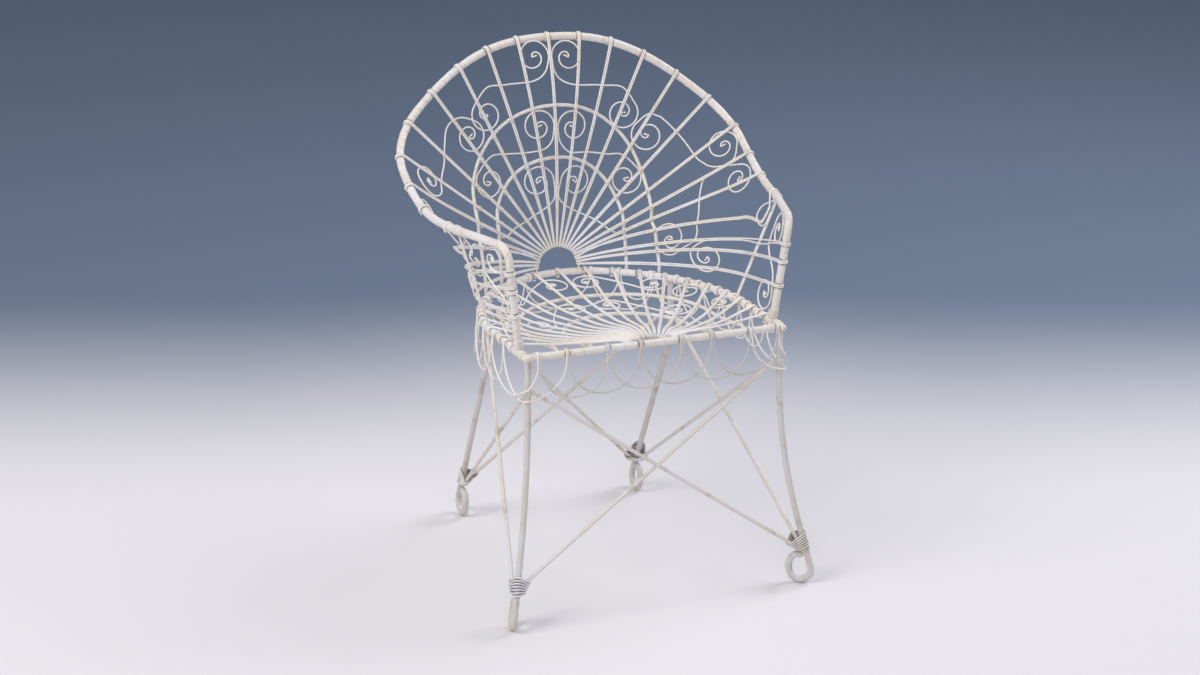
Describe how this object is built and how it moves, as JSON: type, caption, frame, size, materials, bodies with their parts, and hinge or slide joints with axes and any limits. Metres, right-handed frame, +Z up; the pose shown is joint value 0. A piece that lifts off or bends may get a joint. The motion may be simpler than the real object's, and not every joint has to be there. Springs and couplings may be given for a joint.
{
  "type": "wire garden armchair",
  "caption": "White-painted wirework garden armchair with a fan of doubled wires in the rounded back and seat, wrapped hoops, curled scrolls, a looped skirt and four legs with cross braces",
  "frame": {"origin": "on the floor, under the middle of the overall box", "axes": "+X to the right as seen from the front, +Y to the back, +Z up; the chair faces -Y"},
  "size_m": [0.6262, 0.5462, 0.8533],
  "materials": {
    "rod_paint": "aged gloss paint over steel rod",
    "wire_paint": "aged gloss paint over steel wire",
    "binding_paint": "worn paint over wound binding wire"
  },
  "bodies": {
    "root": {"arm_scroll_left": "wire_paint", "arm_scroll_right": "wire_paint", "arm_strut_left": "wire_paint", "arm_strut_right": "wire_paint", "back_hoop_inner": "rod_paint", "back_hoop_outer": "rod_paint", "back_hub": "rod_paint", "back_rim": "rod_paint", "back_spokes_centre": "wire_paint", "back_spokes_left": "wire_paint", "back_spokes_right": "wire_paint", "brace_front_from_front_left": "rod_paint", "brace_front_from_front_right": "rod_paint", "brace_left_from_front_left": "rod_paint", "brace_left_from_rear_left": "rod_paint", "brace_rear_from_rear_left": "rod_paint", "brace_rear_from_rear_right": "rod_paint", "brace_right_from_front_right": "rod_paint", "brace_right_from_rear_right": "rod_paint", "crown_scroll_left": "wire_paint", "crown_scroll_right": "wire_paint", "foot_binding_front_left": "binding_paint", "foot_binding_front_right": "binding_paint", "foot_binding_rear_left": "binding_paint", "foot_binding_rear_right": "binding_paint", "inner_scroll_left": "wire_paint", "inner_scroll_right": "wire_paint", "leg_front_left": "rod_paint", "leg_front_right": "rod_paint", "leg_rear_left": "rod_paint", "leg_rear_right": "rod_paint", "low_scroll_left": "wire_paint", "low_scroll_right": "wire_paint", "low_spokes_left": "wire_paint", "low_spokes_right": "wire_paint", "middle_scroll_left": "wire_paint", "middle_scroll_right": "wire_paint", "seat_front_bar": "rod_paint", "seat_hoop_inner": "rod_paint", "seat_hoop_outer": "rod_paint", "seat_hub": "rod_paint", "seat_rim": "rod_paint", "seat_scrolls_left": "wire_paint", "seat_scrolls_right": "wire_paint", "seat_spokes_centre": "wire_paint", "seat_spokes_left": "wire_paint", "seat_spokes_right": "wire_paint", "shoulder_scroll_left": "wire_paint", "shoulder_scroll_right": "wire_paint", "side_scroll_left": "wire_paint", "side_scroll_right": "wire_paint", "skirt_back": "wire_paint", "skirt_front": "wire_paint", "skirt_left": "wire_paint", "skirt_right": "wire_paint"}
  },
  "joints": []
}
